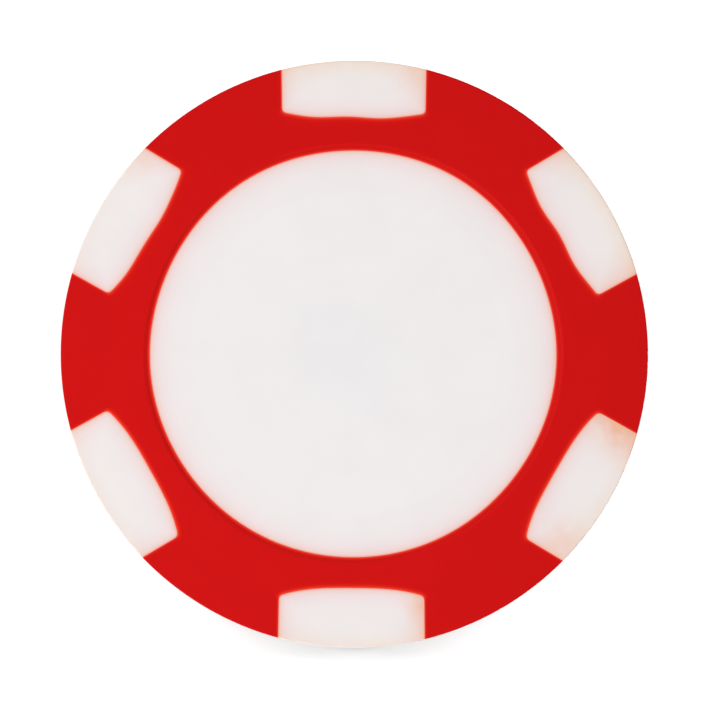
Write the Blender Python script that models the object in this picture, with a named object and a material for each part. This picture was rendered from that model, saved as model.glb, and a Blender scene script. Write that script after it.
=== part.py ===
"""A poker-chip golf ball marker: a steel weight inside a white moulded core, with a red body moulded round it.

The marker lies flat. +Z is up and the origin is the middle of its underside, with a white edge spot
towards +Y. Both faces are alike. Everything is in metres.
"""

import math

import bmesh
import bpy

# The chip as a whole
CHIP_RADIUS = 0.0200
CHIP_THICKNESS = 0.0033
RIM_ROUND = 0.00015
LIP_ROUND = 0.00022  # where each face steps down to the white imprint disc

# The white imprint disc on each face
FACE_RADIUS = 0.01386
RECESS_DEPTH = 0.00015

# The white edge spots: parallel sides, and an inner edge that bows towards the middle of the chip
SPOT_COUNT = 6
SPOT_HALF_WIDTH = 0.00495
SPOT_INNER = 0.01603  # from the chip's centre to the middle of the inner edge
SPOT_BOW = 0.00046  # how much further out the inner edge's ends are
SPOT_BOW_POWER = 3.6
SPOT_CORNER_ROUND = 0.00022

# The white core under the red face rings
WEB_RADIUS = 0.01720
RED_DEPTH = 0.00075  # thickness of each red face ring over the core's web

# The steel weight, a stamped washer
WEIGHT_RADIUS = 0.01300
WEIGHT_HOLE_RADIUS = 0.00300
WEIGHT_THICKNESS = 0.0021
WEIGHT_EDGE = 0.00018

# Dowels and sockets that line up the two identical core halves, in alternate spots
DOWEL_RADIUS = 0.00080
DOWEL_HEIGHT = 0.00070
DOWEL_TIP = 0.00015
DOWEL_PITCH_RADIUS = 0.01780

# Clearances
MOULD_GAP = 0.00003  # between pieces that are moulded together
WEIGHT_GAP = 0.00004  # between the weight and its pocket
DOWEL_GAP = 0.00006

SEGMENTS = 96  # round the chip, a multiple of the spot count
SMALL_SEGMENTS = 24  # round a dowel and the weight's hole
ROUND_STEPS = 3  # flats in each rounded edge
SPOT_EDGE_STEPS = 16  # flats along a spot's bowed inner edge
SPOT_CORNER_TURN = 60  # degrees between the end of the bowed edge and a spot's side
SHARP_ANGLE = math.radians(32)

MIDDLE = CHIP_THICKNESS / 2
CUT_OVER = 0.001  # how far a cutter runs past what it cuts
JOIN_OVER = 0.00035  # how far a dowel runs into the half that carries it
SPOT_ANGLES = [math.pi / 2 + math.tau * i / SPOT_COUNT for i in range(SPOT_COUNT)]


def clear_scene():
    for old in list(bpy.data.objects):
        bpy.data.objects.remove(old)


def material(name, colour, roughness, metallic=0.0):
    made = bpy.data.materials.new(name)
    made.use_nodes = True
    shader = made.node_tree.nodes["Principled BSDF"]
    shader.inputs["Base Color"].default_value = (*colour, 1.0)
    shader.inputs["Roughness"].default_value = roughness
    shader.inputs["Metallic"].default_value = metallic
    return made


def add_object(name, shape, surface=None):
    """Turns a bmesh into an object of the scene, shaded smooth except at its edges."""
    bmesh.ops.recalc_face_normals(shape, faces=shape.faces)
    mesh = bpy.data.meshes.new(name)
    shape.to_mesh(mesh)
    shape.free()
    mesh.shade_smooth()
    mesh.set_sharp_from_angle(angle=SHARP_ANGLE)
    made = bpy.data.objects.new(name, mesh)
    bpy.context.scene.collection.objects.link(made)
    if surface:
        mesh.materials.append(surface)
    return made


def cutter(made):
    """Marks an object as a tool for a Boolean, which is no piece of the chip."""
    made.hide_render = True
    made.display_type = "WIRE"
    return made


def lathe(name, profile, surface=None, segments=SEGMENTS, centre=(0.0, 0.0)):
    """A solid of revolution about the Z axis through centre, from its closed (radius, z) profile."""
    shape = bmesh.new()
    points = [shape.verts.new((radius, 0.0, z)) for radius, z in profile]
    outline = [shape.edges.new((a, b)) for a, b in zip(points, points[1:] + points[:1])]
    bmesh.ops.spin(
        shape,
        geom=points + outline,
        cent=(0.0, 0.0, 0.0),
        axis=(0.0, 0.0, 1.0),
        angle=math.tau,
        steps=segments,
        use_merge=True,
        use_duplicate=False,
    )
    bmesh.ops.remove_doubles(shape, verts=shape.verts, dist=1e-7)
    bmesh.ops.dissolve_degenerate(shape, edges=shape.edges, dist=1e-8)
    bmesh.ops.translate(shape, verts=shape.verts, vec=(*centre, 0.0))
    return add_object(name, shape, surface)


def disc_profile(radius, low, high):
    return [(0.0, low), (radius, low), (radius, high), (0.0, high)]


def arc(centre, radius, start, end, steps=ROUND_STEPS):
    """Points along an arc, both ends included. Angles are in degrees."""
    turns = [math.radians(start + (end - start) * i / steps) for i in range(steps + 1)]
    return [(centre[0] + radius * math.cos(a), centre[1] + radius * math.sin(a)) for a in turns]


def inner_edge(across):
    """How far from the chip's centre a spot's inner edge is, at a distance across from its axis."""
    return SPOT_INNER + SPOT_BOW * (abs(across) / SPOT_HALF_WIDTH) ** SPOT_BOW_POWER


def spot_outline(grow):
    """A spot's outline as (across, out) points, grown outwards by a clearance and open past the rim."""
    half = SPOT_HALF_WIDTH + grow
    corner = SPOT_CORNER_ROUND + grow
    flat = half - corner
    steps = SPOT_EDGE_STEPS
    across = [-flat + 2 * flat * i / steps for i in range(steps + 1)]
    bottom = [(x, inner_edge(x) - grow) for x in across]
    corner_out = inner_edge(flat) - grow + corner
    right = arc((flat, corner_out), corner, -SPOT_CORNER_TURN, 0)
    left = arc((-flat, corner_out), corner, 180, 180 + SPOT_CORNER_TURN)
    far = CHIP_RADIUS + CUT_OVER
    return bottom + right + [(half, far), (-half, far)] + left


def spot_prisms(name, grow):
    """Six upright prisms with the spots' outline, one mesh."""
    shape = bmesh.new()
    for angle in SPOT_ANGLES:
        out = (math.cos(angle), math.sin(angle))
        side = (math.sin(angle), -math.cos(angle))
        ring = [
            shape.verts.new(
                (x * side[0] + y * out[0], x * side[1] + y * out[1], -CUT_OVER)
            )
            for x, y in spot_outline(grow)
        ]
        made = bmesh.ops.extrude_face_region(shape, geom=[shape.faces.new(ring)])
        top = [v for v in made["geom"] if isinstance(v, bmesh.types.BMVert)]
        bmesh.ops.translate(
            shape, verts=top, vec=(0.0, 0.0, CHIP_THICKNESS + 2 * CUT_OVER)
        )
    return cutter(add_object(name, shape))


def boolean(target, tool, operation):
    modifier = target.modifiers.new(f"{operation.lower()} {tool.name}", "BOOLEAN")
    modifier.operation = operation
    modifier.solver = "EXACT"
    modifier.object = tool


def make_weight(steel):
    """The stamped steel washer that gives the marker its heft."""
    low, high = MIDDLE - WEIGHT_THICKNESS / 2, MIDDLE + WEIGHT_THICKNESS / 2
    edge = WEIGHT_EDGE
    profile = [
        (WEIGHT_HOLE_RADIUS, low + edge),
        (WEIGHT_HOLE_RADIUS + edge, low),
        *arc((WEIGHT_RADIUS - edge, low + edge), edge, -90, 0),
        *arc((WEIGHT_RADIUS - edge, high - edge), edge, 0, 90),
        (WEIGHT_HOLE_RADIUS + edge, high),
        (WEIGHT_HOLE_RADIUS, high - edge),
    ]
    return lathe("steel_weight", profile, steel)


def make_red_body(red):
    """The second shot: a ring on each face, joined at the rim between the white spots."""
    inside = FACE_RADIUS + MOULD_GAP
    rim = CHIP_RADIUS - RIM_ROUND
    lip = inside + LIP_ROUND
    profile = [
        *arc((lip, LIP_ROUND), LIP_ROUND, 180, 270),
        *arc((rim, RIM_ROUND), RIM_ROUND, -90, 0),
        *arc((rim, CHIP_THICKNESS - RIM_ROUND), RIM_ROUND, 0, 90),
        *arc((lip, CHIP_THICKNESS - LIP_ROUND), LIP_ROUND, 90, 180),
    ]
    body = lathe("red_body", profile, red)
    web = disc_profile(
        WEB_RADIUS + MOULD_GAP,
        RED_DEPTH - MOULD_GAP,
        CHIP_THICKNESS - RED_DEPTH + MOULD_GAP,
    )
    boolean(body, cutter(lathe("web_cutter", web)), "DIFFERENCE")
    boolean(body, spot_prisms("spot_cutter", MOULD_GAP), "DIFFERENCE")
    return body


def dowel_centre(angle):
    return (DOWEL_PITCH_RADIUS * math.cos(angle), DOWEL_PITCH_RADIUS * math.sin(angle))


def make_core_half(name, white):
    """The front half of the first shot: the imprint disc, the web round it, the six spots, and a pocket for
    the weight. Its parting face is at the middle of the chip's thickness."""
    parting = MIDDLE + MOULD_GAP / 2
    below = parting - CUT_OVER
    rim = CHIP_RADIUS - RIM_ROUND
    ring_inside = SPOT_INNER - CUT_OVER
    ring = [
        (ring_inside, below),
        (CHIP_RADIUS, below),
        *arc((rim, CHIP_THICKNESS - RIM_ROUND), RIM_ROUND, 0, 90),
        (ring_inside, CHIP_THICKNESS),
    ]
    half = lathe(name, ring, white)
    boolean(half, spot_prisms(f"{name}_spots", 0.0), "INTERSECT")
    floor = CHIP_THICKNESS - RECESS_DEPTH
    web_top = CHIP_THICKNESS - RED_DEPTH
    hub = [
        (0.0, below),
        (WEB_RADIUS, below),
        (WEB_RADIUS, web_top),
        (FACE_RADIUS, web_top),
        (FACE_RADIUS, floor),
        (0.0, floor),
    ]
    boolean(half, cutter(lathe(f"{name}_hub", hub)), "UNION")
    pocket_top = MIDDLE + WEIGHT_THICKNESS / 2 + WEIGHT_GAP
    post = WEIGHT_HOLE_RADIUS - WEIGHT_GAP
    pocket = [
        (post, below - CUT_OVER),
        (WEIGHT_RADIUS + WEIGHT_GAP, below - CUT_OVER),
        (WEIGHT_RADIUS + WEIGHT_GAP, pocket_top),
        (post, pocket_top),
    ]
    boolean(half, cutter(lathe(f"{name}_pocket", pocket)), "DIFFERENCE")
    under = disc_profile(CHIP_RADIUS + CUT_OVER, below - CUT_OVER, parting)
    boolean(half, cutter(lathe(f"{name}_parting", under)), "DIFFERENCE")
    for i, angle in enumerate(SPOT_ANGLES):
        add_dowel_or_socket(half, i, dowel_centre(angle), parting)
    return half


def add_dowel_or_socket(half, index, centre, parting):
    """Even spots carry a dowel and odd ones the socket that takes the other half's dowel."""
    tip = parting - DOWEL_HEIGHT
    dowel = [
        (0.0, tip),
        (DOWEL_RADIUS - DOWEL_TIP, tip),
        (DOWEL_RADIUS, tip + DOWEL_TIP),
        (DOWEL_RADIUS, parting + JOIN_OVER),
        (0.0, parting + JOIN_OVER),
    ]
    socket = disc_profile(
        DOWEL_RADIUS + DOWEL_GAP, parting - CUT_OVER, parting + DOWEL_HEIGHT + DOWEL_GAP
    )
    shape, operation = (socket, "DIFFERENCE") if index % 2 else (dowel, "UNION")
    tool = lathe(f"{half.name}_locator_{index}", shape, None, SMALL_SEGMENTS, centre)
    boolean(half, cutter(tool), operation)


def baked_copy(source, name):
    """A second object with the source's finished shape."""
    graph = bpy.context.evaluated_depsgraph_get()
    mesh = bpy.data.meshes.new_from_object(source.evaluated_get(graph))
    made = bpy.data.objects.new(name, mesh)
    bpy.context.scene.collection.objects.link(made)
    return made


def make_core(white):
    """Two identical halves; the back one is turned over about the X axis."""
    front = make_core_half("core_front", white)
    back = baked_copy(front, "core_back")
    back.rotation_euler = (math.pi, 0.0, 0.0)
    back.location = (0.0, 0.0, CHIP_THICKNESS)
    return front, back


def main():
    clear_scene()
    red = material("red_abs", (0.62, 0.008, 0.008), 0.38)
    white = material("white_abs", (0.84, 0.82, 0.82), 0.36)
    steel = material("zinc_steel", (0.56, 0.57, 0.58), 0.35, 1.0)
    assembly = bpy.data.objects.new("ball_marker", None)
    bpy.context.scene.collection.objects.link(assembly)
    for piece in (make_weight(steel), *make_core(white), make_red_body(red)):
        piece.parent = assembly


main()
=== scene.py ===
"""The looks of a poker-chip golf ball marker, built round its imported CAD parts.

The two white core halves and the red body are made again as fine meshes. All three come from one lattice of
cells that wraps round the chip: columns go round it, rows go outwards and levels go up. Each cell belongs to
one piece, and a piece's skin is every cell face where its cells meet another piece or the air. So the pieces
fit each other exactly. The steel weight keeps its CAD mesh. Everything is in metres unless a name says mm.
"""

import math
from collections import namedtuple

import bpy
import numpy as np
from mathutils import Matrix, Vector


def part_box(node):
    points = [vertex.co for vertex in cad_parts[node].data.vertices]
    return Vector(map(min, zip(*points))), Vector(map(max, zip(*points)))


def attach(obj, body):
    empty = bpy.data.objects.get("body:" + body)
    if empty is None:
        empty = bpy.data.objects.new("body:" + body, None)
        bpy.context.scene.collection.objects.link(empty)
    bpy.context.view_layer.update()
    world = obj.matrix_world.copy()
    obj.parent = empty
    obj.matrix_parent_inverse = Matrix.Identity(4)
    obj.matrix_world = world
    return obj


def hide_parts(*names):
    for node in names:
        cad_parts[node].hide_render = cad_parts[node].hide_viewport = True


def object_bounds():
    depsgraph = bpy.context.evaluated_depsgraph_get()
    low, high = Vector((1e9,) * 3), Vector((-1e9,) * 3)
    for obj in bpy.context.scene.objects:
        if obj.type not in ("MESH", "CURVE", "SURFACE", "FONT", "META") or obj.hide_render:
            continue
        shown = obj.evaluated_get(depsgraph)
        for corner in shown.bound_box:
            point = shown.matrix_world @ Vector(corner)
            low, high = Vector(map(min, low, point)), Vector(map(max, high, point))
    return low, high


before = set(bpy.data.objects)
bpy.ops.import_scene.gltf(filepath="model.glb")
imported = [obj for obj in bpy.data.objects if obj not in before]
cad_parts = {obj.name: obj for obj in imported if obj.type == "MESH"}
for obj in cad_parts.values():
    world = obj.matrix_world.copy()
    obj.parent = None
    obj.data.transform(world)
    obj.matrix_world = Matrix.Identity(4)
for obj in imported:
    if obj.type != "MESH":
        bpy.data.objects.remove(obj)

CAD_LOW, CAD_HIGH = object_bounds()

MM = 0.001

# ---------------------------------------------------------------- sizes from the CAD model
CHIP_RADIUS = CAD_HIGH.x
TOP = CAD_HIGH.z
MIDDLE = TOP / 2
_, WEIGHT_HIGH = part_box("steel_weight")
WEIGHT_CLEARANCE = 0.04 * MM
POCKET_RADIUS = WEIGHT_HIGH.x + WEIGHT_CLEARANCE
POCKET_TOP = WEIGHT_HIGH.z + WEIGHT_CLEARANCE
POST_RADIUS = 2.96 * MM  # white plastic through the weight's hole

# ---------------------------------------------------------------- the chip's own sizes
FACE_RADIUS = 13.84 * MM  # the imprint disc's mean radius
DISC_WAVES = [(2, 0.020, 84), (5, 0.017, -15), (6, 0.020, 0)]  # (waves round its edge, mm, a crest's angle)
RECESS = 0.15 * MM
LIP_STEP = 0.03 * MM  # the red stands this much proud of the imprint disc right at their border
LIP_EDGE = 0.01 * MM  # the step's own width
LIP_FLAT = 0.14 * MM  # the red then stays level up to here
LIP_SLOPE = 0.38 * MM  # before its soft slope up to the face
RIM_ROUND = 0.10 * MM
RED_DEPTH = 0.75 * MM
DOWEL_RADIUS = 0.80 * MM
DOWEL_HEIGHT = 0.70 * MM
DOWEL_PITCH_RADIUS = 17.80 * MM
SINK_DEPTH = 0.014 * MM  # the disc sinks a little where the plastic is thick, over the post
SINK_RADIUS = 3.4 * MM
PARTING_HALF = 0.05 * MM  # half the height of the fine ridge that the mould's parting leaves on the rim
PARTING_RIDGE = 0.016 * MM
CORNER_REACH = 0.30 * MM  # how far from a spot's inner corner its rounding starts
CORNER_SHIFT = CORNER_REACH / 4

# The white shot sits a little off the chip's centre
PATTERN_CENTRE = np.array((-0.09, 0.03)) * MM
PATTERN_TURN = math.radians(-0.2)
SIDE_FLARE = 0.04 * MM  # how much further out a spot's sides are at the rim

# One entry per spot. Sizes are in mm. minus and plus are its two sides, from its axis, plus being the
# counter-clockwise one. The inner edge is at depth from the pattern's centre. It bows outwards to its ends
# by bow, with the given power, leans by tilt and ripples by ripple. crest is how far the ripple's crest is
# off the spot's axis, as a share of EDGE_HALF. There is an orange haze on the white: rim_haze says how
# strong it is at the rim, and stains are patches of it.
Spot = namedtuple("Spot", "angle minus plus depth bow power tilt ripple crest rim_haze stains")
Stain = namedtuple("Stain", "across below_rim wide deep strength")
SPOTS = [
    Spot(90, 4.87, 4.88, 16.07, 0.35, 3.6, 0.04, 0.055, 0.10, 0.42, [Stain(-4.7, 0.6, 1.6, 1.6, 0.30)]),
    Spot(150, 4.93, 4.83, 15.965, 0.46, 3.2, 0.05, 0.042, 0.20, 0.16, [Stain(-4.1, 0.5, 1.1, 1.0, 0.22)]),
    Spot(210, 4.96, 4.86, 15.91, 0.58, 3.0, 0.06, 0.000, 0.00, 0.22, []),
    Spot(
        270, 4.98, 4.90, 15.94, 0.57, 3.0, 0.02, 0.000, 0.00, 0.28,
        [Stain(4.7, 2.5, 1.0, 1.1, 0.50), Stain(4.9, 1.0, 0.9, 1.8, 0.20)],
    ),
    Spot(
        330, 4.94, 4.96, 15.925, 0.56, 3.2, -0.03, 0.000, 0.00, 0.30,
        [Stain(-4.0, 1.0, 1.9, 1.4, 0.36), Stain(5.0, 1.1, 1.7, 2.6, 0.87)],
    ),
    Spot(
        30, 4.83, 4.95, 16.12, 0.32, 3.6, -0.03, 0.090, 0.00, 0.42,
        [Stain(-4.7, 0.6, 1.3, 2.0, 0.28), Stain(4.9, 0.4, 1.2, 1.2, 0.15)],
    ),
]
EDGE_HALF = 5.0 * MM  # the half width for which each inner edge's bow, tilt and ripple are given
RIM_HAZE_REACH = 0.8 * MM
SPOT_ZONE_INNER = 15.5 * MM  # a zone that holds any one spot: it starts this far from the chip's centre
SPOT_ZONE_HALF = 5.5 * MM

# ---------------------------------------------------------------- the lattice's resolution
SPOT_CELLS = 48
BETWEEN_CELLS = 36
LIP_ROWS = 12
INNER_ROWS = 12
OUTER_ROWS = 18
RIM_ROWS = 8
COLUMNS = len(SPOTS) * (SPOT_CELLS + BETWEEN_CELLS)
CLUSTER = 0.75  # how strongly rows and columns crowd towards the edges of a colour
SLOPE_STEP = 0.1 * MM
CAP_STEP = 0.55 * MM  # between the rings of a cap
CAP_NARROWEST = 0.45 * CAP_STEP  # a ring whose faces would be narrower than this has half as many
SHARP_ANGLE = math.radians(35)

NOBODY, RED, FRONT, BACK = range(4)


def crowded(count):
    """Fractions from 0 to 1 that lie closer together near both ends."""
    even = np.linspace(0.0, 1.0, count + 1)
    return (1 - CLUSTER) * even + CLUSTER * (1 - np.cos(math.pi * even)) / 2


def direction(angle):
    return np.stack([np.cos(angle), np.sin(angle)], axis=-1)


def spot_frame(spot):
    """The spot's outward and counter-clockwise unit vectors."""
    angle = math.radians(spot.angle) + PATTERN_TURN
    return direction(angle), direction(angle + math.pi / 2)


def inner_edge(spot, across):
    """Distance of the spot's inner edge from the pattern's centre, at a distance across from its axis."""
    x = across / EDGE_HALF
    bow = spot.bow * np.abs(x) ** spot.power
    ripple = spot.ripple * np.cos(math.tau * (x - spot.crest)) * np.clip(1 - x * x, 0, 1)
    return (spot.depth + bow + spot.tilt * x + ripple) * MM


def rounded_corner(spot, sign, across, out):
    """Moves points near one inner corner of a spot so that the corner is rounded."""
    side = sign * (spot.plus if sign > 0 else spot.minus) * MM
    corner_out = inner_edge(spot, side)
    step = sign * SLOPE_STEP
    slope = (inner_edge(spot, side + step) - inner_edge(spot, side - step)) / (2 * SLOPE_STEP)
    apart = np.abs(across - side) + np.abs(out - corner_out - slope * sign * (across - side))
    shift = CORNER_SHIFT * np.clip(1 - apart / CORNER_REACH, 0, 1) ** 2
    return across - sign * shift, out + shift * (1 - slope)


def spot_rows(spot, rim_radii):
    """(across, out) of the lattice's points over one spot, from its inner edge to the rim."""
    shares = 2 * crowded(SPOT_CELLS) - 1
    middle = (spot.plus - spot.minus) / 2 * MM
    half = (spot.plus + spot.minus) / 2 * MM
    outward, ccw = spot_frame(spot)
    centre_out, centre_across = PATTERN_CENTRE @ outward, PATTERN_CENTRE @ ccw

    def to_circle(across, radius):
        return np.sqrt(radius**2 - (across + centre_across) ** 2) - centre_out

    rows = []
    low = inner_edge(spot, middle + half * shares)
    for t in crowded(OUTER_ROWS):
        across = middle + (half + SIDE_FLARE * t) * shares
        out = low + (to_circle(across, rim_radii[0]) - low) * t
        for sign in (-1, 1):
            across, out = rounded_corner(spot, sign, across, out)
        rows.append((across, out))
    across = middle + (half + SIDE_FLARE) * shares
    rows += [(across, to_circle(across, radius)) for radius in rim_radii[1:]]
    return rows


def spot_points(spot, rim_radii):
    """The same points in the chip's plane, as an array of rows, columns and (x, y)."""
    outward, ccw = spot_frame(spot)
    rows = [
        PATTERN_CENTRE + out[:, None] * outward + across[:, None] * ccw
        for across, out in spot_rows(spot, rim_radii)
    ]
    return np.array(rows)


def polar(points):
    """Angle and radius of points about the pattern's centre."""
    from_centre = points - PATTERN_CENTRE
    x, y = from_centre[..., 0], from_centre[..., 1]
    return np.arctan2(y, x), np.hypot(x, y)


def between_points(left, right):
    """Points between two neighbouring spots, from the side of one to the side of the next."""
    start, start_radius = polar(left)
    end, end_radius = polar(right)
    end = start + (end - start) % math.tau
    share = crowded(BETWEEN_CELLS)[1:-1]
    angle = start[:, None] + (end - start)[:, None] * share
    radius = start_radius[:, None] + (end_radius - start_radius)[:, None] * share
    return PATTERN_CENTRE + direction(angle) * radius[..., None]


def rim_profile():
    """(radius, height below the face) of the rounded rim, from the face to the wall."""
    turns = np.linspace(0, math.pi / 2, RIM_ROWS + 1)
    wall = CHIP_RADIUS - PARTING_RIDGE
    return wall - RIM_ROUND * (1 - np.sin(turns)), RIM_ROUND * (1 - np.cos(turns))


def lip_profile():
    """(radius, depth below the face) of the lip: a low step, a level stretch and a soft S up to the face."""
    rise = np.linspace(0, 1, LIP_ROWS - 1)
    slope_radii = FACE_RADIUS + LIP_FLAT + LIP_SLOPE * rise
    slope_depths = (RECESS - LIP_STEP) * (1 + np.cos(math.pi * rise)) / 2
    radii = np.append((FACE_RADIUS, FACE_RADIUS + LIP_EDGE), slope_radii)
    depths = np.append((RECESS, RECESS - LIP_STEP), slope_depths)
    return radii, depths


def face_ripple(angle):
    """How far past FACE_RADIUS the imprint disc reaches, at angles about the pattern's centre."""
    waves = [size * MM * np.cos(count * (angle - math.radians(crest))) for count, size, crest in DISC_WAVES]
    return sum(waves)


def on_rim(points, radius):
    """Moves points straight outwards or inwards to a circle about the chip's centre."""
    return points * (radius / np.hypot(points[..., 0], points[..., 1]))[..., None]


def make_plan():
    """The lattice from above: an array of rows, columns and (x, y), and each row's depth below the face."""
    rim_radii, rim_depths = rim_profile()
    lip_radii, lip_depths = lip_profile()
    spots = [spot_points(spot, rim_radii) for spot in SPOTS]
    blocks = []
    for left, right in zip(spots, spots[1:] + spots[:1]):
        blocks += [left, between_points(left[:, -1], right[:, 0])]
    outer = np.concatenate(blocks, axis=1)
    for i, radius in enumerate(rim_radii):
        outer[OUTER_ROWS + i] = on_rim(outer[OUTER_ROWS + i], radius)
    angle, _ = polar(outer[0])
    heading = direction(angle)
    hub_radii = [POST_RADIUS, (POST_RADIUS + POCKET_RADIUS) / 2, POCKET_RADIUS]
    hub = [heading * radius for radius in hub_radii]
    lip = [PATTERN_CENTRE + heading * (radius + face_ripple(angle))[:, None] for radius in lip_radii]
    inner = [lip[-1] + (outer[0] - lip[-1]) * t for t in crowded(INNER_ROWS)[1:-1]]
    plan = np.array(hub + lip + inner + list(outer))
    depths = np.zeros(len(plan))
    depths[: len(hub)] = RECESS
    depths[len(hub) : len(hub) + len(lip)] = lip_depths
    depths[-len(rim_depths) :] = rim_depths
    return plan, depths


HUB_ROW = 2  # the pocket's wall
FACE_ROW = 3  # the edge of the imprint disc
SPOT_ROW = FACE_ROW + LIP_ROWS + INNER_ROWS  # the spots' inner edges and the web's outer wall
LEVELS = [
    0.0,
    RED_DEPTH,
    MIDDLE - DOWEL_HEIGHT,
    MIDDLE - 2 * PARTING_HALF,
    MIDDLE - PARTING_HALF,
    MIDDLE,
    MIDDLE + PARTING_HALF,
    MIDDLE + 2 * PARTING_HALF,
    MIDDLE + DOWEL_HEIGHT,
    TOP - RED_DEPTH,
    TOP,
]
MID_LEVEL = LEVELS.index(MIDDLE)
DOWEL_LEVEL = LEVELS.index(MIDDLE - DOWEL_HEIGHT)
DOWEL_CELLS = 3  # half the width, in cells, of the block of cells that makes a dowel


def spot_start(index):
    return index * (SPOT_CELLS + BETWEEN_CELLS)


def dowel_place(plan, index):
    """The row and the column of the lattice at the middle of a spot's dowel."""
    column = spot_start(index) + SPOT_CELLS // 2
    radii = np.hypot(*plan[:, column].T)
    row = int(np.argmin(np.abs(radii - DOWEL_PITCH_RADIUS)))
    return row, column


def make_lattice(plan, depths):
    """The lattice's points, as an array of rows, columns, levels and (x, y, z)."""
    rows, columns = plan.shape[:2]
    points = np.empty((rows, columns, len(LEVELS), 3))
    points[..., :2] = plan[:, :, None]
    points[..., 2] = LEVELS
    points[..., 0, 2] = depths[:, None]
    points[..., -1, 2] = TOP - depths[:, None]
    points[: HUB_ROW + 1, :, 1, 2] = TOP - POCKET_TOP
    points[: HUB_ROW + 1, :, -2, 2] = POCKET_TOP
    points[-1, :, MID_LEVEL, :2] = on_rim(plan[-1], CHIP_RADIUS)
    steps = np.arange(-DOWEL_CELLS, DOWEL_CELLS + 1)
    out, round_it = np.meshgrid(steps, steps, indexing="ij")
    reach = np.maximum(np.abs(out), np.abs(round_it)) / DOWEL_CELLS
    length = np.maximum(np.hypot(out, round_it), 1)
    for index, spot in enumerate(SPOTS):
        row, column = dowel_place(plan, index)
        outward, ccw = spot_frame(spot)
        middle = plan[row, column]
        offset = (out / length * reach)[..., None] * outward + (round_it / length * reach)[..., None] * ccw
        block = (middle + DOWEL_RADIUS * offset)[:, :, None]
        rows_here = slice(row - DOWEL_CELLS, row + DOWEL_CELLS + 1)
        columns_here = slice(column - DOWEL_CELLS, column + DOWEL_CELLS + 1)
        levels_here = slice(DOWEL_LEVEL, len(LEVELS) - DOWEL_LEVEL)
        points[rows_here, columns_here, levels_here, :2] = block
    return points


def make_owners(plan):
    """Which piece each cell of the lattice belongs to, and which core half owns the white of each level.
    The two halves' dowels alternate from spot to spot."""
    owners = np.full((len(plan) - 1, COLUMNS, len(LEVELS) - 1), RED)
    white = np.array([BACK] * MID_LEVEL + [FRONT] * MID_LEVEL)
    owners[:FACE_ROW] = white
    owners[:HUB_ROW, :, 1:-1] = NOBODY
    owners[FACE_ROW:SPOT_ROW, :, 1:-1] = white[1:-1]
    for index in range(len(SPOTS)):
        start = spot_start(index)
        owners[SPOT_ROW:, start : start + SPOT_CELLS] = white
        row, column = dowel_place(plan, index)
        rows_here = slice(row - DOWEL_CELLS, row + DOWEL_CELLS)
        columns_here = slice(column - DOWEL_CELLS, column + DOWEL_CELLS)
        if index % 2:
            owners[rows_here, columns_here, MID_LEVEL : len(LEVELS) - 1 - DOWEL_LEVEL] = BACK
        else:
            owners[rows_here, columns_here, DOWEL_LEVEL:MID_LEVEL] = FRONT
    return owners, white


def quads(corners, wanted):
    """Faces from four arrays of point numbers, where wanted is true."""
    return np.stack([corner[wanted] for corner in corners], axis=-1)


def skin(piece, owners, white, number):
    """A piece's faces, as point numbers: every cell face between this piece and what isn't it."""
    mine = owners == piece
    next_column = np.roll(number, -1, axis=1)
    faces = []
    # across the columns: from the cell before each column line to the one after it
    before = np.roll(mine, 1, axis=1)
    low, high = number[:-1, :, :-1], number[:-1, :, 1:]
    out_low, out_high = number[1:, :, :-1], number[1:, :, 1:]
    faces.append(quads((low, high, out_high, out_low), before & ~mine))
    faces.append(quads((low, out_low, out_high, high), mine & ~before))
    # outwards: the post inside the first row is white all the way up
    post = np.broadcast_to(white == piece, mine[:1].shape)
    inside = np.concatenate([post, mine])
    outside = np.concatenate([mine, np.zeros_like(mine[:1])])
    a, b = number[:, :, :-1], next_column[:, :, :-1]
    c, d = next_column[:, :, 1:], number[:, :, 1:]
    faces.append(quads((a, b, c, d), inside & ~outside))
    faces.append(quads((a, d, c, b), outside & ~inside))
    # upwards, apart from the two outer faces of the hub, which have caps of their own
    empty = np.zeros_like(mine[:, :, :1])
    under = np.concatenate([empty, mine], axis=2)
    over = np.concatenate([mine, empty], axis=2)
    under[:HUB_ROW, :, -1] = False
    over[:HUB_ROW, :, 0] = False
    a, b = number[:-1], number[1:]
    c, d = next_column[1:], next_column[:-1]
    faces.append(quads((a, b, c, d), under & ~over))
    faces.append(quads((a, d, c, b), over & ~under))
    return [tuple(face) for block in faces for face in block.tolist()]


def add_cap(vertices, faces, ring, upwards, height):
    """Fills a ring of points with rings of its own that have fewer and fewer points towards the middle.
    height(radius) is how far each of its points is off the ring's plane, along +Z."""
    outline = np.array([vertices[i] for i in ring])
    radius = np.hypot(outline[0, 0], outline[0, 1])
    while radius >= 2 * CAP_STEP:
        radius -= CAP_STEP
        halve = len(ring) % 2 == 0 and math.tau * radius / len(ring) < CAP_NARROWEST
        outline = outline[::2].copy() if halve else outline.copy()
        outline[:, :2] *= (radius / np.hypot(outline[:, 0], outline[:, 1]))[:, None]
        first = len(vertices)
        vertices.extend(tuple(p + [0, 0, height(radius)]) for p in outline)
        inner = list(range(first, first + len(outline)))
        count = len(inner)
        for i in range(count):
            here, after = inner[i], inner[(i + 1) % count]
            if halve:
                a, b, c = ring[2 * i], ring[2 * i + 1], ring[(2 * i + 2) % len(ring)]
                made = [(here, a, b), (here, b, after), (after, b, c)]
            else:
                made = [(here, ring[i], ring[(i + 1) % count], after)]
            faces.extend(made if upwards else [face[::-1] for face in made])
        ring = inner
    middle = len(vertices)
    level = outline[0, 2] + height(0.0)
    vertices.append((0.0, 0.0, level))
    count = len(ring)
    made = [(middle, ring[i], ring[(i + 1) % count]) for i in range(count)]
    faces.extend(made if upwards else [face[::-1] for face in made])


def sink(radius):
    return SINK_DEPTH * math.exp(-((radius / SINK_RADIUS) ** 2))


def flat(_radius):
    return 0.0


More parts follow.
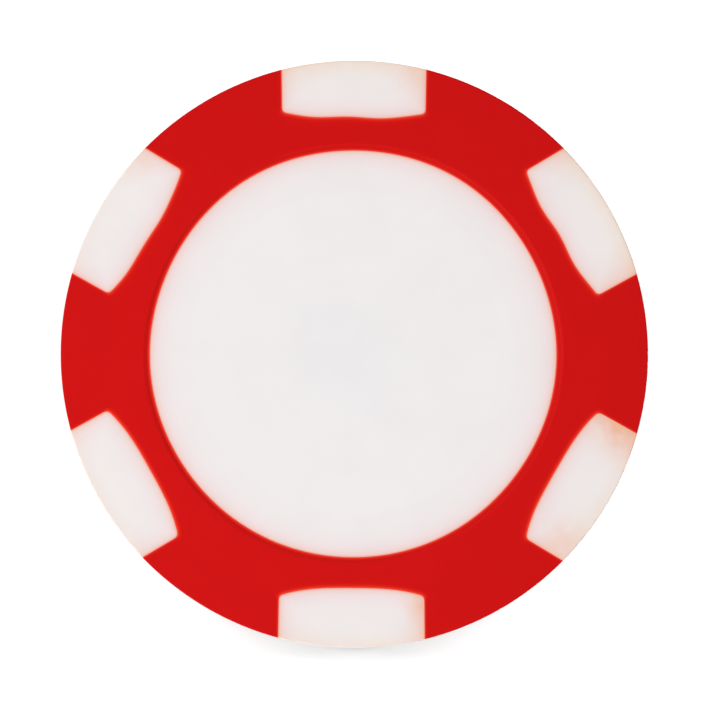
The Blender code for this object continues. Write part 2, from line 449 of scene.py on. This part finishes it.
def make_surface(piece, points, owners, white):
    """A piece's vertices and faces."""
    number = np.arange(points[..., 0].size).reshape(points.shape[:3])
    vertices = [tuple(p) for p in points.reshape(-1, 3)]
    faces = skin(piece, owners, white, number)
    if piece == FRONT:
        add_cap(vertices, faces, number[HUB_ROW, :, -1].tolist(), True, lambda r: -sink(r))
        add_cap(vertices, faces, number[0, :, MID_LEVEL].tolist(), False, flat)
    if piece == BACK:
        add_cap(vertices, faces, number[HUB_ROW, :, 0].tolist(), False, sink)
        add_cap(vertices, faces, number[0, :, MID_LEVEL].tolist(), True, flat)
    used = sorted({i for face in faces for i in face})
    place = {old: new for new, old in enumerate(used)}
    return np.array([vertices[i] for i in used]), [tuple(place[i] for i in face) for face in faces]


# ---------------------------------------------------------------- what the materials read from each point

# painted shade and highlight along the lip's slope: (mm beyond the disc, how light the red is painted there)
LIP_PAINTED_SHADING = [(0.12, 1.0), (0.20, 0.96), (0.26, 0.98), (0.36, 1.07), (0.44, 1.06), (0.54, 1.0)]
INNER_LINE = 1.5  # how much wider the bright line is along the spots' inner edges than along the disc
SIDE_LINE = 0.8  # and along their sides


def nearest(points, line):
    """Distance from each point to a line through the given points, all in the chip's plane."""
    best = np.full(len(points), np.inf)
    for a, b in zip(line[:-1], line[1:]):
        along = b - a
        share = np.clip((points - a) @ along / (along @ along), 0, 1)
        gap = points - a - share[:, None] * along
        best = np.minimum(best, np.hypot(gap[:, 0], gap[:, 1]))
    return best


def edge_distances(points, plan):
    """Distance of each point to the disc's edge, to the spots' inner edges, and to the spots' sides."""
    flat_points = points[:, :2]
    angle, radius = polar(flat_points)
    disc = np.abs(radius - FACE_RADIUS - face_ripple(angle))
    inner, sides = np.full(len(points), np.inf), np.full(len(points), np.inf)
    for index in range(len(SPOTS)):
        start, end = spot_start(index), spot_start(index) + SPOT_CELLS
        inner = np.minimum(inner, nearest(flat_points, plan[SPOT_ROW, start : end + 1]))
        for column in (start, end % COLUMNS):
            sides = np.minimum(sides, nearest(flat_points, plan[SPOT_ROW:, column]))
    return disc, inner, sides


def warm_haze(points):
    """How much of the rim's haze and how much stain lies on each point of the white plastic, from 0 to 1."""
    haze, stain = np.zeros(len(points)), np.zeros(len(points))
    below_rim = CHIP_RADIUS - np.hypot(points[:, 0], points[:, 1])
    for spot in SPOTS:
        outward, ccw = spot_frame(spot)
        across = points[:, :2] @ ccw
        here = (points[:, :2] @ outward > SPOT_ZONE_INNER) & (np.abs(across) < SPOT_ZONE_HALF)
        haze[here] = spot.rim_haze * np.exp(-below_rim[here] / RIM_HAZE_REACH)
        for patch in spot.stains:
            sideways = (across[here] / MM - patch.across) / patch.wide
            inwards = (below_rim[here] / MM - patch.below_rim) / patch.deep
            stain[here] += patch.strength * np.exp(-(sideways**2) - inwards**2)
    return haze, stain


def add_attribute(mesh, name, values):
    mesh.attributes.new(name, "FLOAT", "POINT").data.foreach_set("value", values.astype(np.float32))


def make_piece(name, piece, lattice, owners, white, plan):
    """One moulding as an object, with the distances, tints and painted lip shading that its material reads.
    """
    vertices, faces = make_surface(piece, lattice, owners, white)
    mesh = bpy.data.meshes.new(name)
    mesh.from_pydata(vertices.tolist(), [], faces)
    mesh.shade_smooth()
    mesh.set_sharp_from_angle(angle=SHARP_ANGLE)
    disc, inner, sides = edge_distances(vertices, plan)
    if piece == RED:
        # the bright line along the white is widest along the spots' inner edges
        gap = np.minimum(disc, np.minimum(inner / INNER_LINE, sides / SIDE_LINE))
        # and the lip's slope gets a painted dark dip and a painted bright ridge in place of its own shade
        # and light
        beyond_disc = polar(vertices[:, :2])[1] - FACE_RADIUS
        add_attribute(mesh, "lip_painted_shading", np.interp(beyond_disc / MM, *zip(*LIP_PAINTED_SHADING)))
    else:
        gap = np.minimum(disc, np.minimum(inner, sides))
        haze, stain = warm_haze(vertices)
        add_attribute(mesh, "haze", haze)
        add_attribute(mesh, "stain", stain)
    add_attribute(mesh, "gap_mm", gap / MM)
    add_attribute(mesh, "radius_mm", np.hypot(vertices[:, 0], vertices[:, 1]) / MM)
    made = bpy.data.objects.new(name, mesh)
    bpy.context.scene.collection.objects.link(made)
    return made


# ---------------------------------------------------------------- materials

WHITE_SHEEN = 0.15
RED_SHEEN = 0.03
NOISE_SPAN = (0.3, 0.7)  # where most of a noise's values lie


def linear(red, green, blue):
    """An sRGB colour from 0 to 255 as a linear one, with alpha."""
    shares = [c / 255 for c in (red, green, blue)]
    return (*[s / 12.92 if s <= 0.04045 else ((s + 0.055) / 1.055) ** 2.4 for s in shares], 1.0)


class Nodes:
    """Adds nodes to one material."""

    def __init__(self, name):
        self.material = bpy.data.materials.new(name)
        self.material.use_nodes = True
        self.tree = self.material.node_tree
        self.shader = self.tree.nodes["Principled BSDF"]

    def add(self, kind, **settings):
        node = self.tree.nodes.new(kind)
        for key, value in settings.items():
            setattr(node, key, value)
        return node

    def link(self, source, target):
        self.tree.links.new(source, target)

    def set(self, **values):
        for key, value in values.items():
            self.shader.inputs[key.replace("_", " ")].default_value = value

    def attribute(self, name):
        return self.add("ShaderNodeAttribute", attribute_name=name).outputs["Fac"]

    def position(self):
        return self.add("ShaderNodeTexCoord").outputs["Object"]

    def along(self, heading):
        """How far a point lies from the chip's axis towards a heading."""
        node = self.add("ShaderNodeVectorMath", operation="DOT_PRODUCT")
        node.inputs[1].default_value = heading
        self.link(self.position(), node.inputs[0])
        return node.outputs["Value"]

    def noise(self, size_mm, detail=2.0, roughness=0.5, offset=0.0):
        """Noise from 0 to 1 with features about size_mm wide."""
        place = self.add("ShaderNodeMapping")
        place.inputs["Location"].default_value = (offset, offset, offset)
        self.link(self.position(), place.inputs["Vector"])
        node = self.add("ShaderNodeTexNoise")
        node.inputs["Scale"].default_value = 1000.0 / size_mm
        node.inputs["Detail"].default_value = detail
        node.inputs["Roughness"].default_value = roughness
        self.link(place.outputs["Vector"], node.inputs["Vector"])
        return node.outputs["Fac"]

    def range(self, value, low, high, to_low, to_high):
        node = self.add("ShaderNodeMapRange")
        for i, number in enumerate((low, high, to_low, to_high), start=1):
            node.inputs[i].default_value = number
        self.link(value, node.inputs[0])
        return node.outputs[0]

    def vary(self, low, high, size_mm, detail=2.0, roughness=0.5, offset=0.0):
        """A value that noise varies from low to high."""
        return self.range(self.noise(size_mm, detail, roughness, offset), *NOISE_SPAN, low, high)

    def math(self, operation, first, second):
        node = self.add("ShaderNodeMath", operation=operation)
        for i, operand in enumerate((first, second)):
            if isinstance(operand, (int, float)):
                node.inputs[i].default_value = operand
            else:
                self.link(operand, node.inputs[i])
        return node.outputs[0]

    def ramp(self, value, span, stops):
        """A colour for each value from 0 to span. Stops are (value, colour) pairs."""
        node = self.add("ShaderNodeValToRGB")
        elements = node.color_ramp.elements
        for i, (at, colour) in enumerate(stops):
            element = elements[i] if i < len(elements) else elements.new(at / span)
            element.position = at / span
            element.color = colour
        self.link(self.range(value, 0.0, span, 0.0, 1.0), node.inputs["Fac"])
        return node.outputs["Color"]

    def grey(self, value):
        node = self.add("ShaderNodeCombineColor")
        for socket in node.inputs[:3]:
            self.link(value, socket)
        return node.outputs["Color"]

    def mix(self, factor, first, second, blend="MIX"):
        node = self.add("ShaderNodeMix", data_type="RGBA", blend_type=blend)
        for socket, value in ((node.inputs[0], factor), (node.inputs[6], first), (node.inputs[7], second)):
            if isinstance(value, (int, float, tuple)):
                socket.default_value = value
            else:
                self.link(value, socket)
        return node.outputs[2]

    def bump(self, height, distance_mm, strength=1.0):
        node = self.add("ShaderNodeBump")
        node.inputs["Strength"].default_value = strength
        node.inputs["Distance"].default_value = distance_mm * MM
        self.link(height, node.inputs["Height"])
        self.link(node.outputs["Normal"], self.shader.inputs["Normal"])


def white_plastic():
    """White ABS. The red behind it glows through near its edges, and orange haze lies along the rim."""
    m = Nodes("white_abs")
    gap = m.attribute("gap_mm")
    body = m.ramp(
        gap,
        3.0,
        [
            (0.00, linear(240, 156, 136)),
            (0.06, linear(240, 188, 178)),
            (0.13, linear(240, 204, 199)),
            (0.22, linear(239, 213, 209)),
            (0.40, linear(239, 220, 218)),
            (0.65, linear(239, 225, 225)),
            (1.30, linear(239, 231, 231)),
            (3.00, linear(239, 235, 235)),
        ],
    )
    hazy = body
    for name, size_mm, low, high, tint in (
        ("haze", 1.3, 0.82, 1.18, linear(239, 194, 146)),
        ("stain", 0.9, 0.62, 1.38, linear(238, 184, 156)),
    ):
        amount = m.math("MULTIPLY", m.attribute(name), m.vary(low, high, size_mm, 4.0))
        hazy = m.mix(m.math("MINIMUM", amount, 1.0), hazy, tint)
    radius = m.math("ADD", m.attribute("radius_mm"), m.vary(-1.6, 1.6, 5.0, offset=0.3))
    cool = m.range(radius, 1.0, 5.5, 1.0, 0.0)
    patched = m.mix(cool, hazy, linear(235, 233, 235))
    cloud = m.vary(0.985, 1.005, 3.0, 3.0, offset=0.7)
    clouded = m.mix(1.0, patched, m.grey(cloud), "MULTIPLY")
    m.link(clouded, m.shader.inputs["Base Color"])
    m.link(m.vary(0.33, 0.41, 1.2, 4.0, offset=0.9), m.shader.inputs["Roughness"])
    m.bump(m.noise(0.5, 3.0, offset=0.2), 0.004)
    m.set(Specular_IOR_Level=WHITE_SHEEN)
    return m.material


# painted light: the red's colour is made a shade lighter towards the key light
PAINTED_LIGHT_SIDE = (-0.85, -0.53, 0.0)  # the direction in which the red gets a shade lighter


def red_plastic():
    """Red ABS, with a thin bright orange line where it thins out over the white. Its colour also holds
    painted light: a shade lighter towards the key light, a shade darker towards the rim, and a painted dark
    dip and bright ridge along the lip.
    """
    m = Nodes("red_abs")
    gap = m.attribute("gap_mm")
    body = m.ramp(
        gap,
        0.5,
        [
            (0.00, linear(239, 92, 70)),
            (0.05, linear(235, 58, 40)),
            (0.10, linear(225, 36, 26)),
            (0.16, linear(213, 26, 21)),
            (0.24, linear(207, 21, 20)),
            (0.50, linear(206, 20, 20)),
        ],
    )
    cloud = m.vary(0.988, 1.012, 2.6, 4.0, roughness=0.6)
    # painted light: the red is a shade lighter on the key light's side and a shade darker on the far side
    painted_side_light = m.range(m.along(PAINTED_LIGHT_SIDE), -CHIP_RADIUS, CHIP_RADIUS, 0.96, 1.02)
    # painted shade: the red is made a shade darker towards the rim
    rim = m.range(m.attribute("radius_mm"), 16.4, 17.9, 1.0, 0.985)
    # the random cloud then takes on the painted side light, the painted rim shade and the painted lip
    # shading
    for factor in (painted_side_light, rim, m.attribute("lip_painted_shading")):
        cloud = m.math("MULTIPLY", cloud, factor)
    clouded = m.mix(1.0, body, m.grey(cloud), "MULTIPLY")
    m.link(clouded, m.shader.inputs["Base Color"])
    m.link(m.vary(0.32, 0.42, 1.2, 4.0, offset=0.5), m.shader.inputs["Roughness"])
    m.bump(m.noise(0.5, 3.0, offset=0.4), 0.004)
    m.set(Specular_IOR_Level=RED_SHEEN)
    return m.material


def zinc_steel():
    """Zinc-plated steel with fine mottling."""
    m = Nodes("zinc_steel")
    m.set(Metallic=1.0)
    grain = m.ramp(m.noise(0.8, 5.0), 1.0, [(0.3, linear(178, 180, 184)), (0.7, linear(205, 206, 208))])
    m.link(grain, m.shader.inputs["Base Color"])
    m.link(m.vary(0.28, 0.42, 0.6, 4.0, offset=0.5), m.shader.inputs["Roughness"])
    m.bump(m.noise(0.15, 4.0, offset=0.1), 0.003)
    return m.material


# ---------------------------------------------------------------- the stage


RING_COUNT = 8  # softboxes in a ring round the chip
RING_ELEVATION = 38
RING_DISTANCE = 0.7
RING_SIZE = 0.5
RING_POWER = 0.65
KEY_AZIMUTH = 208  # from the lower left
KEY_ELEVATION = 42
KEY_DISTANCE = 0.5
KEY_SIZE = 0.48
KEY_POWER = 1.60
FLOOR_SOFTBOXES = [(81, 30, 0.17, 24.5), (61, 31, 0.33, 31.0)]  # (azimuth from +Y, elevation, size, power)
FLOOR_DISTANCE = 1.0
WORLD_STRENGTH = 0.12
FLOOR_GREY = 0.14
FLOOR_GLOW = 0.605
FLOOR_DROP = 0.02 * MM  # the floor lies a hair below the chip
FLOOR_RINGS = [0.1, 0.4, 1.5, 6.0]
FLOOR_SIDES = 64


def pale_floor():
    """A matt floor. Most of its white is a glow of its own, and the floor's softboxes bring the rest."""
    m = Nodes("pale_floor")
    m.set(Base_Color=(FLOOR_GREY, FLOOR_GREY, FLOOR_GREY, 1.0), Roughness=0.9, Specular_IOR_Level=0.0)
    m.set(Emission_Color=(1.0, 1.0, 1.0, 1.0), Emission_Strength=FLOOR_GLOW)
    return m.material


def make_floor():
    """A wide flat disc under the chip, with finer faces towards the middle."""
    count = FLOOR_SIDES
    vertices = [(0.0, 0.0, -FLOOR_DROP)]
    for radius in FLOOR_RINGS:
        vertices += [(*(radius * direction(math.tau * i / count)), -FLOOR_DROP) for i in range(count)]
    faces = [(0, 1 + i, 1 + (i + 1) % count) for i in range(count)]
    for ring in range(len(FLOOR_RINGS) - 1):
        a, b = 1 + ring * count, 1 + (ring + 1) * count
        faces += [(a + i, b + i, b + (i + 1) % count, a + (i + 1) % count) for i in range(count)]
    mesh = bpy.data.meshes.new("studio_floor")
    mesh.from_pydata(vertices, [], faces)
    mesh.materials.append(pale_floor())
    floor = bpy.data.objects.new("studio_floor", mesh)
    bpy.context.scene.collection.objects.link(floor)
    return floor


def add_softbox(name, azimuth, elevation, distance, size, power, lit):
    """Makes a square area light that faces the chip and lights only the objects in the collection lit.
    Azimuth 0 is towards +X, and 90 towards +Y. Hiding it from glossy rays weakens its reflection."""
    data = bpy.data.lights.new(name, "AREA")
    data.shape = "SQUARE"
    data.size = size
    data.energy = power
    light = bpy.data.objects.new(name, data)
    a, e = math.radians(azimuth), math.radians(elevation)
    light.location = distance * Vector((math.cos(e) * math.cos(a), math.cos(e) * math.sin(a), math.sin(e)))
    light.rotation_mode = "QUATERNION"
    light.rotation_quaternion = light.location.to_track_quat("Z", "Y")
    light.visible_camera = False
    light.visible_glossy = False
    light.light_linking.receiver_collection = lit
    bpy.context.scene.collection.objects.link(light)
    return light


def collection_of(name, objects):
    made = bpy.data.collections.new(name)
    for each in objects:
        made.objects.link(each)
    return made


def make_lights(chip, floor):
    """The chip is lit by a ring of softboxes and a stronger key. The floor has two pairs of softboxes of its
    own, left and right of the chip, and looks darker where the chip hides most of them, just below it."""
    chip = collection_of("chip", chip)
    floor = collection_of("floor", [floor])
    add_softbox("key_softbox", KEY_AZIMUTH, KEY_ELEVATION, KEY_DISTANCE, KEY_SIZE, KEY_POWER, chip)
    for i in range(RING_COUNT):
        azimuth = 360 * (i + 0.5) / RING_COUNT
        add_softbox(f"softbox_{i}", azimuth, RING_ELEVATION, RING_DISTANCE, RING_SIZE, RING_POWER, chip)
    for i, (turn, elevation, size, power) in enumerate(FLOOR_SOFTBOXES):
        for side, azimuth in (("left", 90 + turn), ("right", 90 - turn)):
            name = f"floor_softbox_{side}_{i}"
            add_softbox(name, azimuth, elevation, FLOOR_DISTANCE, size, power, floor)


def make_world():
    """Even pale surroundings, which light the scene a little and look white to the camera."""
    world = bpy.data.worlds.new("studio")
    bpy.context.scene.world = world
    world.use_nodes = True
    tree = world.node_tree
    seen = tree.nodes.new("ShaderNodeLightPath").outputs["Is Camera Ray"]
    strength = tree.nodes.new("ShaderNodeMapRange")
    strength.inputs["To Min"].default_value = WORLD_STRENGTH
    strength.inputs["To Max"].default_value = 1.0
    tree.links.new(seen, strength.inputs["Value"])
    background = tree.nodes["Background"]
    background.inputs["Color"].default_value = (1.0, 1.0, 1.0, 1.0)
    tree.links.new(strength.outputs["Result"], background.inputs["Strength"])


CAMERA_LENS = 500.0
CAMERA_SENSOR = 36.0
FRAME_WIDTH = 48.35 * MM  # what the picture spans, at the height of the chip's parting line
VIEW_SHIFT = Vector((0.012, -0.022, 0.0)) * MM  # how far the camera is off the chip's axis
CLIP_START = 0.01
CLIP_END = 10.0


def make_camera():
    """Straight above the chip, with +Y up in the picture."""
    data = bpy.data.cameras.new("camera")
    data.lens = CAMERA_LENS
    data.sensor_width = CAMERA_SENSOR
    data.clip_start = CLIP_START
    data.clip_end = CLIP_END
    camera = bpy.data.objects.new("camera", data)
    distance = FRAME_WIDTH * CAMERA_LENS / CAMERA_SENSOR
    camera.location = VIEW_SHIFT + Vector((0.0, 0.0, MIDDLE + distance))
    bpy.context.scene.collection.objects.link(camera)
    bpy.context.scene.camera = camera


def main():
    plan, depths = make_plan()
    lattice = make_lattice(plan, depths)
    owners, white = make_owners(plan)
    red, pale = red_plastic(), white_plastic()
    chip = []
    for name, piece, node, surface, slot in (
        ("red_body_moulding", RED, "red_body", red, "red_abs"),
        ("core_front_moulding", FRONT, "core_front", pale, "white_abs"),
        ("core_back_moulding", BACK, "core_back", pale, "white_abs"),
    ):
        made = make_piece(name, piece, lattice, owners, white, plan)
        made.data.materials.append(surface)
        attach(made, "root")
        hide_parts(node)
        chip.append(made)
    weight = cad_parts["steel_weight"]
    weight.data.materials.clear()
    weight.data.materials.append(zinc_steel())
    make_lights(chip + [weight], make_floor())
    make_world()
    make_camera()
    bpy.context.scene.view_settings.view_transform = "Standard"


main()
